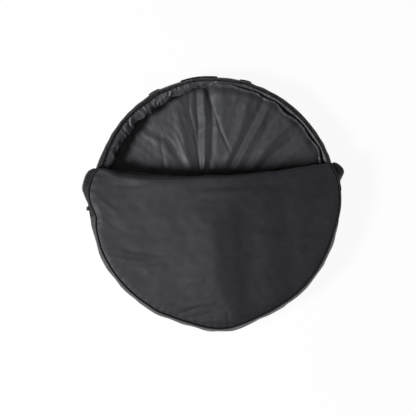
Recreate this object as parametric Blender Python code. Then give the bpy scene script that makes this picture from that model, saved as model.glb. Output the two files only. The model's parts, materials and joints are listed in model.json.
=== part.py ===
"""Round padded carrying bag, lying flat on its back panel with the top of its front folded in.

Metres, +Z up. The origin is the centre of the back panel's underside. +Y points to the handle.
The bag is a ring-shaped side wall between two round panels. The front panel is cut in two by a
straight fold: the lower part is the cover, the upper part is the flap, modelled closed and then
turned under the cover by the empty on the fold's axis. Angles run anticlockwise from +X.
"""

import math

import bmesh
import bpy
import numpy as np
from mathutils import Matrix

# Driving sizes of the bag
bag_radius = 0.372
bag_depth = 0.100
crown_height = 0.012
bottom_point_rise = 0.012
fold_offset = 0.106
fold_turn = math.radians(-4.7)
flap_droop = math.radians(6.0)

# Cloth, foam and edging
shell_thickness = 0.0010
foam_thickness = 0.0040
lining_thickness = 0.0006
wall_thickness = 0.0012
seam_gap = 0.0003
piping_radius = 0.0025
binding_width = 0.0026
binding_height = 0.0045
guard_radius = 0.050
guard_thickness = 0.0015
guard_margin = 0.006

# Loose lining on the back: it lies higher than the padding, in folds from the middle to the wall
lining_loft = 0.0055
lining_fold_height = 0.0065

# Zip
tape_width = 0.0138
tape_thickness = 0.0010
coil_radius = 0.0014
slider_depth = 0.0060
slider_height = 0.0108
slider_length = 0.0120
lug_length = 0.0015
puller_length = 0.0195
puller_thickness = 0.0018
puller_side_gap = 0.0004
puller_hole_radius = 0.0022
zip_stop_length = 0.0180
zip_stop_height = 0.0200
left_slider_angle = math.radians(177.2)
right_slider_angle = math.radians(2.6)

# Top edge of the upper wall, which curls into the mouth
curl_length = 0.026
curl_drop = 0.012
curl_cloth_share = 0.5
curl_bend = math.radians(70.0)
curl_run = math.radians(14.0)

# Ears: the tape lies flat at the fold and turns down to the side of the wall
tape_full_tilt = math.radians(80.0)
flap_tilt_run = 0.160

# Handle on the wall's outside
handle_left_angle = math.radians(112.7)
handle_right_angle = math.radians(69.3)
handle_clearance = 0.0014
strap_width = 0.025
strap_thickness = 0.0025
anchor_length = 0.036
anchor_width = 0.030
anchor_thickness = 0.0040
grip_length = 0.112
grip_width = 0.028
grip_thickness = 0.0060

# How the shapes are divided
arc_step = math.radians(4.0)
bottom_point_angle = math.radians(268.0)
bottom_point_spread = math.radians(20.0)
fold_edge_points = 12
curl_steps = 3
roll_steps = 8
ring_shares = (1.0, 0.9, 0.74, 0.5)
lining_ring_shares = (0.0, 0.14, 0.36, 0.62, 0.88, 1.0)
lining_start_share = 0.30
lining_edge_share = 0.12
full_turn = 2 * math.pi
sharp_angle = math.radians(35)
level_bend = 0.001
grip_bevel_share = 0.25

# Folds of the back lining: degrees at the wall, degrees at the middle, half width in degrees, and
# the share of the fold height by which each stands up or dips
lining_fold_shares = (
    (14.0, 14.0, 4.5, -0.4),
    (23.0, 22.0, 5.0, 0.4),
    (35.0, 33.0, 4.5, -0.9),
    (48.0, 46.0, 6.0, 0.6),
    (62.0, 61.0, 4.5, -1.0),
    (74.0, 78.0, 6.5, 0.7),
    (86.0, 95.0, 4.5, -1.2),
    (92.0, 101.0, 3.5, 0.5),
    (98.0, 107.0, 4.5, -1.0),
    (110.0, 117.0, 5.5, 0.7),
    (122.0, 128.0, 4.5, -0.6),
    (136.0, 138.0, 6.0, 0.6),
    (150.0, 150.0, 4.5, -0.6),
    (162.0, 160.0, 6.0, 0.4),
    (200.0, 200.0, 6.0, -0.6),
    (222.0, 222.0, 8.0, 0.4),
    (246.0, 246.0, 6.0, -0.6),
    (268.0, 268.0, 8.0, 0.4),
    (294.0, 294.0, 6.0, -0.6),
    (318.0, 318.0, 8.0, 0.4),
    (342.0, 342.0, 6.0, -0.6),
)

# Heights and radii that follow from the sizes above
panel_radius = bag_radius - 2 * piping_radius - seam_gap
piping_ring_radius = bag_radius - piping_radius
back_piping_height = piping_radius + seam_gap
wall_bottom = 2 * piping_radius + seam_gap
front_base = bag_depth + seam_gap
front_piping_height = bag_depth + seam_gap + piping_radius
lining_base = 0.0
foam_base = lining_base + lining_thickness + seam_gap
shell_base = foam_base + foam_thickness + seam_gap
panel_stack = shell_base + shell_thickness
curl_start_height = bag_depth - curl_length - curl_drop
back_foam_base = shell_thickness + seam_gap
back_lining_base = back_foam_base + foam_thickness + seam_gap
back_top = back_lining_base + lining_thickness
wall_lining_radius = bag_radius - wall_thickness - seam_gap
tape_start_radius = bag_radius + seam_gap
coil_distance = tape_width + seam_gap + coil_radius
slider_top = front_piping_height - coil_distance * math.sin(tape_full_tilt) - coil_radius - seam_gap
slider_base = slider_top - slider_height
slider_middle = slider_base + slider_height / 2
slider_face = tape_start_radius + slider_depth
puller_head_radius = puller_thickness
puller_pivot = slider_face + seam_gap + puller_head_radius
slider_half_angle = slider_length / 2 / bag_radius
handle_height = slider_middle - puller_length - handle_clearance - anchor_width / 2
zip_end_gap_angle = seam_gap / bag_radius
left_zip_end = left_slider_angle + slider_half_angle + zip_end_gap_angle
right_zip_end = right_slider_angle - slider_half_angle - zip_end_gap_angle
fold_normal_angle = math.pi / 2 + fold_turn


def linear_colour(red, green, blue):
    """Turn a screen colour, given in 0 to 255 steps, into the shader's linear colour."""
    shares = [channel / 255 for channel in (red, green, blue)]
    return [s / 12.92 if s <= 0.04045 else ((s + 0.055) / 1.055) ** 2.4 for s in shares] + [1.0]


def make_material(name, colour, roughness, metallic=0.0):
    """One plain Principled material."""
    material = bpy.data.materials.new(name)
    material.use_nodes = True
    shader = material.node_tree.nodes["Principled BSDF"]
    shader.inputs["Base Color"].default_value = linear_colour(*colour)
    shader.inputs["Roughness"].default_value = roughness
    shader.inputs["Metallic"].default_value = metallic
    material.diffuse_color = linear_colour(*colour)
    return material


def clear_scene():
    """Remove whatever the file holds."""
    for item in list(bpy.data.objects):
        bpy.data.objects.remove(item, do_unlink=True)


def make_empty(name, matrix, parent=None):
    """An empty that carries other objects. The matrix is in the parent's frame."""
    empty = bpy.data.objects.new(name, None)
    bpy.context.collection.objects.link(empty)
    empty.parent = parent
    empty.matrix_local = matrix
    return empty


def finish_mesh(name, shape, material, parent=None):
    """Turn a bmesh into an object whose faces point outwards."""
    bmesh.ops.recalc_face_normals(shape, faces=shape.faces)
    mesh = bpy.data.meshes.new(name)
    shape.to_mesh(mesh)
    shape.free()
    mesh.materials.append(material)
    mesh.shade_smooth()
    mesh.set_sharp_from_angle(angle=sharp_angle)
    item = bpy.data.objects.new(name, mesh)
    bpy.context.collection.objects.link(item)
    item.parent = parent
    return item


def smooth_step(share):
    """Rise from 0 to 1 with level ends."""
    share = min(max(share, 0.0), 1.0)
    return share * share * (3 - 2 * share)


def rim_rise(angle):
    """How far the rim stands out at this angle: the bag is drawn to a soft point at its bottom."""
    away = abs((angle - bottom_point_angle + math.pi) % full_turn - math.pi)
    return bottom_point_rise * max(0.0, 1 - away / bottom_point_spread)


def on_rim(radius, angle, height=0.0):
    """The point at this radius, angle and height, with the rim's own rise."""
    reach = radius + rim_rise(angle)
    return (reach * math.cos(angle), reach * math.sin(angle), height)


def arc_angles(start, end):
    """The two ends and the whole steps between them, so that nested arcs share their corners."""
    first = math.floor(start / arc_step + 1e-6) + 1
    last = math.ceil(end / arc_step - 1e-6) - 1
    return [start] + [step * arc_step for step in range(first, last + 1)] + [end]


def round_angles():
    """The whole steps of one full turn."""
    return [step * arc_step for step in range(round(full_turn / arc_step))]


def sweep(name, sections, material, parent=None, closed=False, into=None):
    """Join rows of corners, one row for each place along the path, into one closed solid.

    The two halves of a row are split the opposite way, so that the faces of nested strips match.
    """
    shape = bmesh.new()
    rows = [[shape.verts.new(corner) for corner in row] for row in sections]
    pairs = list(zip(rows, rows[1:]))
    if closed:
        pairs.append((rows[-1], rows[0]))
    for here, there in pairs:
        for i in range(len(here)):
            j = (i + 1) % len(here)
            if i < len(here) // 2:
                shape.faces.new((here[i], here[j], there[j]))
                shape.faces.new((here[i], there[j], there[i]))
            else:
                shape.faces.new((here[i], here[j], there[i]))
                shape.faces.new((here[j], there[j], there[i]))
    if not closed:
        shape.faces.new(rows[0])
        shape.faces.new(rows[-1])
    if into is not None:
        shape.transform(into)
    return finish_mesh(name, shape, material, parent)


def ring_section(angle, profile):
    """Place a profile of (radius, height) corners on the rim at this angle."""
    return [on_rim(radius, angle, height) for radius, height in profile]


def box_profile(inner, outer, low, high):
    """A rectangular profile."""
    return [(inner, low), (outer, low), (outer, high), (inner, high)]


def ribbon_profile(path, normals, near, far):
    """A strip beside a path: its two sides lie at the distances near and far along the normals."""
    one = [(r + nr * near, z + nz * near) for (r, z), (nr, nz) in zip(path, normals)]
    two = [(r + nr * far, z + nz * far) for (r, z), (nr, nz) in zip(path, normals)]
    return one + two[::-1]


def tube(name, points, radius, material, parent=None, cyclic=False, into=None):
    """A round cord through the points."""
    curve = bpy.data.curves.new(name, "CURVE")
    curve.dimensions = "3D"
    curve.bevel_depth = radius
    curve.bevel_resolution = 1
    curve.use_fill_caps = True
    spline = curve.splines.new("POLY")
    spline.points.add(len(points) - 1)
    spline.points.foreach_set("co", np.column_stack([np.array(points), np.ones(len(points))]).ravel())
    spline.use_cyclic_u = cyclic
    curve.materials.append(material)
    if into is not None:
        curve.transform(into)
    item = bpy.data.objects.new(name, curve)
    bpy.context.collection.objects.link(item)
    item.parent = parent
    return item


def crown(share):
    """Height of a panel's dome on the ring that lies at this share of the outline."""
    inner = ring_shares[-1]
    return crown_height * math.sin(math.pi / 2 * min(1.0, (1 - share) / (1 - inner)))


def panel(name, outline, centre, base, thickness, material, parent=None, domed=True, into=None):
    """A sheet inside an outline: rings shrink towards the centre and rise, the middle is level."""
    shape = bmesh.new()
    rings = []
    for share in ring_shares if domed else ring_shares[:1]:
        height = base + (crown(share) if domed else 0.0)
        xs = [centre[0] + (x - centre[0]) * share for x, y in outline]
        ys = [centre[1] + (y - centre[1]) * share for x, y in outline]
        rings.append([shape.verts.new((x, y, height)) for x, y in zip(xs, ys)])
    for outer, inner in zip(rings, rings[1:]):
        for i in range(len(outer)):
            j = (i + 1) % len(outer)
            shape.faces.new((outer[i], outer[j], inner[j]))
            shape.faces.new((outer[i], inner[j], inner[i]))
    shape.faces.new(rings[-1])
    raised = bmesh.ops.extrude_face_region(shape, geom=list(shape.faces), use_keep_orig=True)
    top = [part for part in raised["geom"] if isinstance(part, bmesh.types.BMVert)]
    bmesh.ops.translate(shape, verts=top, vec=(0.0, 0.0, thickness))
    if into is not None:
        shape.transform(into)
    return finish_mesh(name, shape, material, parent)


def fold_point(along, out, height=0.0):
    """The point this far along the fold from its middle, and this far out from the bag's centre."""
    turn = fold_turn
    x = along * math.cos(turn) - out * math.sin(turn)
    y = along * math.sin(turn) + out * math.cos(turn)
    return (x, y, height)


def segment_outline(start, end, edge_out):
    """A part of the round panel: the arc from start to end, and the straight fold edge back."""
    corners = [on_rim(panel_radius, angle)[:2] for angle in arc_angles(start, end)]
    half = math.sqrt(panel_radius**2 - edge_out**2)
    side = 1 if math.cos(end - fold_turn) > 0 else -1
    for step in range(1, fold_edge_points + 1):
        along = side * half * (1 - 2 * step / (fold_edge_points + 1))
        corners.append(fold_point(along, edge_out)[:2])
    return corners


def back_panel(cloth, padding, inside, edge, stiff):
    """Outer cloth, foam and lining, the hub guard on them, and the piping round the edge."""
    outline = [on_rim(panel_radius, angle)[:2] for angle in round_angles()]
    middle = (0.0, 0.0)
    panel("back_shell", outline, middle, 0.0, shell_thickness, cloth, domed=False)
    panel("back_foam", outline, middle, back_foam_base, foam_thickness, padding, domed=False)
    loose_lining("back_lining", back_lining_base, inside)
    ring = [on_rim(piping_ring_radius, angle, back_piping_height) for angle in round_angles()]
    tube("back_piping", ring, piping_radius, edge, cyclic=True)
    guard_disc("back_hub_guard", back_top + seam_gap, stiff)
    inner = wall_lining_radius - lining_thickness - seam_gap - binding_width
    low = wall_bottom + seam_gap
    profile = box_profile(inner, inner + binding_width, low, low + binding_height)
    sweep("inner_seam_binding", [ring_section(a, profile) for a in round_angles()], edge, closed=True)


def lining_rise(share, angle):
    """How far the loose lining lies above the padding, at this share of the way to the wall."""
    rise = lining_loft
    for wall_degrees, middle_degrees, width_degrees, height_share in lining_fold_shares:
        place = math.radians(middle_degrees + (wall_degrees - middle_degrees) * share)
        away = (angle - place + math.pi) % full_turn - math.pi
        rise += height_share * lining_fold_height * math.exp(-((away / math.radians(width_degrees)) ** 2))
    grown = smooth_step(share / lining_start_share) * smooth_step((1 - share) / lining_edge_share)
    return max(0.0, rise) * grown


def loose_lining(name, base, material):
    """A round sheet that is level in its middle, under the hub guard, and folded from there to the wall."""
    shape = bmesh.new()
    start = guard_radius + guard_margin
    rings = []
    for share in lining_ring_shares:
        ring = []
        for angle in round_angles():
            radius = start + (panel_radius + rim_rise(angle) - start) * share
            height = base + lining_rise(share, angle)
            ring.append(shape.verts.new((radius * math.cos(angle), radius * math.sin(angle), height)))
        rings.append(ring)
    for inner, outer in zip(rings, rings[1:]):
        for i in range(len(inner)):
            j = (i + 1) % len(inner)
            shape.faces.new((inner[i], outer[i], outer[j]))
            shape.faces.new((inner[i], outer[j], inner[j]))
    shape.faces.new(rings[0])
    raised = bmesh.ops.extrude_face_region(shape, geom=list(shape.faces), use_keep_orig=True)
    top = [part for part in raised["geom"] if isinstance(part, bmesh.types.BMVert)]
    bmesh.ops.translate(shape, verts=top, vec=(0.0, 0.0, lining_thickness))
    return finish_mesh(name, shape, material)


def guard_disc(name, base, material):
    """A stiff round patch where an axle's end presses."""
    shape = bmesh.new()
    bmesh.ops.create_cone(
        shape,
        cap_ends=True,
        segments=40,
        radius1=guard_radius,
        radius2=guard_radius - guard_thickness,
        depth=guard_thickness,
    )
    bmesh.ops.translate(shape, verts=shape.verts, vec=(0.0, 0.0, base + guard_thickness / 2))
    finish_mesh(name, shape, material)


def lower_wall(cloth, inside):
    """The part of the side wall that the cover is sewn to."""
    angles = arc_angles(left_zip_end + zip_end_gap_angle, right_zip_end - zip_end_gap_angle + full_turn)
    outer = box_profile(bag_radius - wall_thickness, bag_radius, wall_bottom, bag_depth)
    inner_radius = wall_lining_radius - lining_thickness
    inner = box_profile(inner_radius, wall_lining_radius, wall_bottom, bag_depth)
    sweep("lower_gusset", [ring_section(a, outer) for a in angles], cloth)
    sweep("lower_gusset_lining", [ring_section(a, inner) for a in angles], inside)


def curl_at(angle):
    """How far the top edge of the upper wall curls in: none at the zip's ends, all of it after a run."""
    return smooth_step(min(left_zip_end - angle, angle - right_zip_end) / curl_run)


def curl_path(angle, start, end, steps):
    """Points and inward normals on the wall's outer face, measured along the curl from its start."""
    bend = max(curl_at(angle), level_bend) * curl_bend
    swing = curl_length / bend
    path = []
    normals = []
    for step in range(steps + 1):
        turn = bend * (start + (end - start) * step / steps) / curl_length
        path.append((bag_radius - swing * (1 - math.cos(turn)), curl_start_height + swing * math.sin(turn)))
        normals.append((-math.cos(turn), -math.sin(turn)))
    return path, normals


def upper_wall(cloth, inside, tape, teeth):
    """The free part of the side wall with its curled edge, the zip tape on it and the zip coil."""
    angles = arc_angles(right_zip_end, left_zip_end)
    cloth_end = curl_length * curl_cloth_share
    cloth_rows = []
    lining_rows = []
    tape_rows = []
    coil_points = []
    for angle in angles:
        path, normals = curl_path(angle, 0.0, cloth_end, curl_steps)
        path = [(bag_radius, wall_bottom)] + path
        normals = [(-1.0, 0.0)] + normals
        lining_near = wall_thickness + seam_gap
        cloth_rows.append(ring_section(angle, ribbon_profile(path, normals, 0.0, wall_thickness)))
        lining = ribbon_profile(path, normals, lining_near, lining_near + lining_thickness)
        lining_rows.append(ring_section(angle, lining))
        path, normals = curl_path(angle, cloth_end + seam_gap, curl_length, curl_steps - 1)
        tape_rows.append(ring_section(angle, ribbon_profile(path, normals, 0.0, tape_thickness)))
        path, normals = curl_path(angle, curl_length, curl_length + seam_gap + coil_radius, 1)
        centre = [path[-1][k] + normals[-1][k] * coil_radius for k in range(2)]
        coil_points.append(on_rim(centre[0], angle, centre[1]))
    sweep("upper_gusset", cloth_rows, cloth)
    sweep("upper_gusset_lining", lining_rows, inside)
    sweep("gusset_zip_tape", tape_rows, tape)
    tube("gusset_zip_coil", coil_points, coil_radius, teeth)


def tape_row(angle, tilt):
    """The zip tape's corners and the coil's centre at this angle; a tilt turns the strip down."""
    direction = (math.cos(tilt), -math.sin(tilt))
    normal = (-math.sin(tilt), -math.cos(tilt))
    start = (tape_start_radius + tape_thickness / 2, front_piping_height)
    end = [start[k] + direction[k] * tape_width for k in range(2)]
    profile = ribbon_profile([start, end], [normal, normal], -tape_thickness / 2, tape_thickness / 2)
    coil = [start[k] + direction[k] * coil_distance for k in range(2)]
    return ring_section(angle, profile), on_rim(coil[0], angle, coil[1])


def ear(side, fold_angle, zip_end, tape, teeth):
    """The cover's free zip tape between the fold and the zip's end: it opens out like an ear."""
    rows = []
    coil_points = []
    for angle in arc_angles(min(fold_angle, zip_end), max(fold_angle, zip_end)):
        tilt = tape_full_tilt * smooth_step((angle - fold_angle) / (zip_end - fold_angle))
        row, coil = tape_row(angle, tilt)
        rows.append(row)
        coil_points.append(coil)
    sweep(f"{side}_ear_tape", rows, tape)
    tube(f"{side}_ear_coil", coil_points, coil_radius, teeth)


def front_cover(cloth, padding, inside, edge, stiff, tape, teeth):
    """The lower part of the front, sewn to the wall: cloth, foam, lining, guard, piping and ears."""
    edge_out = fold_offset - seam_gap
    half_angle = math.acos(edge_out / panel_radius)
    start = fold_normal_angle + half_angle
    end = fold_normal_angle - half_angle + full_turn
    outline = segment_outline(start, end, edge_out)
    middle = (0.0, 0.0)
    panel("front_lining", outline, middle, front_base + lining_base, lining_thickness, inside)
    panel("front_foam", outline, middle, front_base + foam_base, foam_thickness, padding)
    panel("front_shell", outline, middle, front_base + shell_base, shell_thickness, cloth)
    guard_disc("front_hub_guard", front_base + crown_height - seam_gap - guard_thickness, stiff)
    piping = [on_rim(piping_ring_radius, angle, front_piping_height) for angle in arc_angles(start, end)]
    tube("front_piping", piping, piping_radius, edge)
    ear("left", start, left_zip_end, tape, teeth)
    ear("right", end - full_turn, right_zip_end, tape, teeth)


def lip(cloth):
    """The rolled edge of the fold: the outer cloth runs half round from the cover to the flap."""
    outer = panel_stack + seam_gap
    inner = outer - shell_thickness
    half = math.sqrt(panel_radius**2 - (fold_offset + outer) ** 2) - seam_gap
    turns = np.linspace(math.pi / 2, -math.pi / 2 + flap_droop + seam_gap / inner, roll_steps + 1)
    profile = [(outer * math.cos(turn), outer * math.sin(turn)) for turn in turns]
    profile += [(inner * math.cos(turn), inner * math.sin(turn)) for turn in turns[::-1]]
    rows = []
    for along in (-half, half):
        rows.append([fold_point(along, fold_offset + out, bag_depth + up) for out, up in profile])
    sweep("lip_roll", rows, cloth)


def flap(cloth, padding, inside, edge, tape, teeth):
    """The upper part of the front, modelled closed and turned under the cover about the fold."""
    closed_frame = Matrix.Translation(fold_point(0.0, fold_offset, bag_depth))
    closed_frame = closed_frame @ Matrix.Rotation(fold_turn, 4, "Z")
    axis = make_empty("flap_axis", closed_frame @ Matrix.Rotation(math.pi + flap_droop, 4, "X"))
    into = closed_frame.inverted()
    edge_out = fold_offset + seam_gap
    half_angle = math.acos(edge_out / panel_radius)
    start = fold_normal_angle - half_angle
    end = fold_normal_angle + half_angle
    outline = segment_outline(start, end, edge_out)
    middle = fold_point(0.0, (edge_out + panel_radius) / 2)[:2]
    layers = [
        ("flap_lining", lining_base, lining_thickness, inside),
        ("flap_foam", foam_base, foam_thickness, padding),
        ("flap_shell", shell_base, shell_thickness, cloth),
    ]
    for name, base, thickness, material in layers:
        panel(name, outline, middle, front_base + base, thickness, material, axis, into=into)
    angles = arc_angles(start, end)
    piping = [on_rim(piping_ring_radius, angle, front_piping_height) for angle in angles]
    tube("flap_piping", piping, piping_radius, edge, axis, into=into)
    rows = []
    coil_points = []
    for angle in angles:
        from_fold = panel_radius * math.cos(angle - fold_normal_angle) - fold_offset
        row, coil = tape_row(angle, tape_full_tilt * smooth_step(from_fold / flap_tilt_run))
        rows.append(row)
        coil_points.append(coil)
    sweep("flap_zip_tape", rows, tape, axis, into=into)
    tube("flap_zip_coil", coil_points, coil_radius, teeth, axis, into=into)


def zip_stop(side, zip_end, direction, cloth):
    """The cloth tab that closes the zip's end, on the wall just past the slider."""
    start = zip_end + direction * zip_end_gap_angle * 2
    end = start + direction * zip_stop_length / bag_radius
    high = bag_depth - seam_gap
    outer = tape_start_radius + wall_thickness
    profile = box_profile(tape_start_radius, outer, high - zip_stop_height, high)
    angles = arc_angles(min(start, end), max(start, end))
    sweep(f"{side}_zip_stop", [ring_section(a, profile) for a in angles], cloth)


def slider(side, angle, metal):
    """A zip slider on an empty at the bag's centre, with two lugs, and its puller on their pivot."""
    axis = make_empty(f"{side}_slider_axis", Matrix.Rotation(angle, 4, "Z"))
    half = slider_length / 2
    lug_side = half - lug_length
    tip = puller_pivot + puller_head_radius
    corners = [
        (tape_start_radius, -half),
        (tip, -half),
        (tip, -lug_side),
        (slider_face, -lug_side),
        (slider_face, lug_side),
        (tip, lug_side),
        (tip, half),
        (tape_start_radius, half),
    ]
    rows = [[(x, y, height) for x, y in corners] for height in (slider_base, slider_top)]
    sweep(f"{side}_slider", rows, metal, axis)
    pivot = make_empty(f"{side}_puller_axis", Matrix.Translation((puller_pivot, 0.0, slider_middle)), axis)
    puller(side, lug_side - puller_side_gap, pivot, metal)


def puller(side, half_width, pivot, metal):
    """A flat tab hanging from the pivot, round at its head, with a hole near its lower end."""
    head = puller_head_radius
    flat = puller_thickness / 2
    turns = np.linspace(0.0, math.pi, roll_steps // 2 + 1)
    profile = [(head * math.cos(turn), head * math.sin(turn)) for turn in turns]
    profile += [(-flat, -head), (-flat, -puller_length), (flat, -puller_length), (flat, -head)]
    rows = [[(x, y, z) for x, z in profile] for y in (-half_width, half_width)]
    tab = sweep(f"{side}_puller", rows, metal, pivot)
    shape = bmesh.new()
    hole_place = Matrix.Translation((0.0, 0.0, -puller_length + puller_hole_radius * 2))
    bmesh.ops.create_cone(
        shape,
        cap_ends=True,
        segments=16,
        radius1=puller_hole_radius,
        radius2=puller_hole_radius,
        depth=puller_thickness * 3,
        matrix=hole_place @ Matrix.Rotation(math.pi / 2, 4, "Y"),
    )
    cutter = finish_mesh(f"{side}_puller_hole", shape, metal, pivot)
    cutter.hide_render = True
    cutter.display_type = "WIRE"
    cut = tab.modifiers.new("hole", "BOOLEAN")
    cut.operation = "DIFFERENCE"
    cut.object = cutter


def handle(webbing, rubber):
    """Two sewn ends on the wall, two runs of webbing and the grip between them."""
    low = handle_height - anchor_width / 2
    anchor = box_profile(tape_start_radius, tape_start_radius + anchor_thickness, low, low + anchor_width)
    anchor_half = anchor_length / 2 / bag_radius
    for side, angle in (("left", handle_left_angle), ("right", handle_right_angle)):
        rows = [ring_section(a, anchor) for a in arc_angles(angle - anchor_half, angle + anchor_half)]
        sweep(f"{side}_handle_anchor", rows, webbing)
    middle = (handle_left_angle + handle_right_angle) / 2
    lift = make_empty("handle_axis", Matrix.Identity(4))
    low = handle_height - grip_width / 2
    profile = box_profile(tape_start_radius, tape_start_radius + grip_thickness, low, low + grip_width)
    grip_half = grip_length / 2 / bag_radius
    rows = [ring_section(a, profile) for a in arc_angles(middle - grip_half, middle + grip_half)]
    grip = sweep("handle_grip", rows, rubber, lift)
    soften = grip.modifiers.new("soft edges", "BEVEL")
    soften.width = grip_thickness * grip_bevel_share
    soften.segments = 1
    soften.limit_method = "ANGLE"
    soften.angle_limit = sharp_angle
    low = handle_height - strap_width / 2
    profile = box_profile(tape_start_radius, tape_start_radius + strap_thickness, low, low + strap_width)
    gap = zip_end_gap_angle
    runs = {
        "left": (middle + grip_half + gap, handle_left_angle - anchor_half - gap),
        "right": (handle_right_angle + anchor_half + gap, middle - grip_half - gap),
    }
    for side, (start, end) in runs.items():
        rows = [ring_section(a, profile) for a in arc_angles(start, end)]
        sweep(f"{side}_handle_strap", rows, webbing, lift)


def build():
    """Make every piece of the bag."""
    clear_scene()
    cloth = make_material("outer_cloth", (66, 65, 70), 0.75)
    inside = make_material("lining_cloth", (60, 62, 66), 0.45)
    padding = make_material("foam", (120, 120, 118), 0.9)
    edge = make_material("piping", (48, 48, 52), 0.6)
    tape = make_material("zip_tape", (52, 51, 56), 0.8)
    teeth = make_material("zip_teeth", (30, 30, 33), 0.4)
    metal = make_material("slider_metal", (40, 40, 42), 0.35, 0.8)
    stiff = make_material("guard_plastic", (34, 34, 36), 0.5)
    webbing = make_material("webbing", (40, 40, 43), 0.8)
    rubber = make_material("grip_rubber", (32, 32, 34), 0.7)
    back_panel(cloth, padding, inside, edge, stiff)
    lower_wall(cloth, inside)
    upper_wall(cloth, inside, tape, teeth)
    front_cover(cloth, padding, inside, edge, stiff, tape, teeth)
    lip(cloth)
    flap(cloth, padding, inside, edge, tape, teeth)
    zip_stop("left", left_zip_end, 1, webbing)
    zip_stop("right", right_zip_end, -1, webbing)
    slider("left", left_slider_angle, metal)
    slider("right", right_slider_angle, metal)
    handle(webbing, rubber)


build()
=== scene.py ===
"""The looks of a round padded carrying bag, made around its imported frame.

The bag lies on its back panel. The top of its front is folded in and tucked under the lower part, so
that the lining shows through the mouth. Metres, +Z up, +Y to the handle. Angles run anticlockwise
from +X. Every shape is worked out as whole arrays, in the place where it is seen.
"""
import json
import math

import bmesh
import bpy
import numpy as np
from mathutils import Euler, Matrix, Vector


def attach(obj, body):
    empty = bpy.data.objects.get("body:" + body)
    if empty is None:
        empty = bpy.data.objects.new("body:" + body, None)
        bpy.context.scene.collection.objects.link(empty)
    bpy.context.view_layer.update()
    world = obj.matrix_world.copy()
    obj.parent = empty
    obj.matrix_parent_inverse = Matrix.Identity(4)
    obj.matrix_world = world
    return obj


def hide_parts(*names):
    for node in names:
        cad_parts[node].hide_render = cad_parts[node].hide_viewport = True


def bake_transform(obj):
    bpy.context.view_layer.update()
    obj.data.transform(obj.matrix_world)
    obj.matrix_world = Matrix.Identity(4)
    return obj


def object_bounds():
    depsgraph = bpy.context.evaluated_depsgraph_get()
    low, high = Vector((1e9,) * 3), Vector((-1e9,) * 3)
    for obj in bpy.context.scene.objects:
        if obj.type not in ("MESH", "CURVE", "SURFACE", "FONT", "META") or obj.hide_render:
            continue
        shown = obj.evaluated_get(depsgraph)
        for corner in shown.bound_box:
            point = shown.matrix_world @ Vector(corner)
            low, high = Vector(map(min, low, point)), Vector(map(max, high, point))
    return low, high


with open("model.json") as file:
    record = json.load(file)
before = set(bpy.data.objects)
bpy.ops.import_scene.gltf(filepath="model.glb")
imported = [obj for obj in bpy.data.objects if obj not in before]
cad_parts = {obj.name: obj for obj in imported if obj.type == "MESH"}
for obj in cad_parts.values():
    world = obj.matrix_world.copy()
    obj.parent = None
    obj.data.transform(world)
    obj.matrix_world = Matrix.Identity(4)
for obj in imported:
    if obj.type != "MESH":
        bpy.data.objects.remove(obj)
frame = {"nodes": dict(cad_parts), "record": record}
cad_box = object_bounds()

pi = math.pi
full_turn = 2 * pi

# The bag's own sizes, as in the frame
bag_radius = 0.372
bag_depth = 0.100
panel_radius = 0.3667
panel_top = 0.1046
panel_low = 0.1009
wall_foot = 0.0056
piping_radius = 0.0025
seam_height = 0.1028
fold_offset = 0.106
fold_turn = math.radians(-4.7)
left_corner = math.radians(158.5)
right_corner = math.radians(12.1)
corner_run = math.radians(9.0)
left_zip_end = math.radians(178.2)
right_zip_end = math.radians(1.6)
handle_middle = math.radians(91.0)
handle_height = 0.0445
slider_middle = 0.0804
cloth_thickness = 0.0012
lining_thickness = 0.0004
stitch_inset = 0.0050

# Zip and thread: a coil's pitch and wire; a stitch's pitch, length and radius
tape_width = 0.0138
tape_under = 0.0065
ear_width = 0.0172
ear_rounding = 4.6
coil_radius = 0.0014
coil_pitch = 0.0014
coil_wire = 0.00042
seam_stitch = (0.0042, 0.0032, 0.00036)
box_stitch = (0.0034, 0.0026, 0.00034)

# The lower wall's fullness, and the lip of the fold, which sags and rolls over
seam_draw = 0.0045
wall_bulge = 0.0066
lip_sag = 0.0285
lip_middle = 0.015
lip_centre = 0.0015
lip_half = 0.345
lip_end = 0.3435
lip_share = 0.93
roof_slope = 0.062

# The upper wall's free edge, which curls into the mouth
curl_start = 0.062
curl_length = 0.026
curl_cloth = 0.013
zip_end_height = 0.0775

# The photograph's picture plane, for places read from it, and the camera
picture_centre = (214.1, 201.5)
picture_scale = 0.00297
picture_turn = math.radians(6.0)
camera_place = (-0.020, -0.0173, 3.017)
camera_lens = 85.0

# Bells on the outline, draws of the front's seam and turns of the curl: degrees, height, spread in degrees
rim_humps = [
    (268.0, 0.0140, 12.7), (357.0, 0.0050, 9.0), (237.0, 0.0020, 4.0), (68.5, 0.0020, 2.6),
    (92.5, 0.0024, 7.0), (112.5, 0.0035, 4.2), (196.0, 0.0030, 11.0), (178.5, 0.0038, 4.5),
    (316.0, 0.0028, 20.0), (346.0, 0.0018, 12.0), (147.0, -0.0050, 13.0),
]
seam_draws = [
    (178.5, 0.0038, 4.5), (181.0, 0.0080, 4.0), (189.0, 0.0110, 12.0), (157.5, 0.0100, 3.0),
    (169.5, -0.0055, 5.0), (12.0, 0.0040, 3.0), (4.0, -0.0030, 4.0),
]
curl_turns = [(158, 34, 9), (135, -10, 7), (115, 20, 11), (40, 12, 24)]

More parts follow.
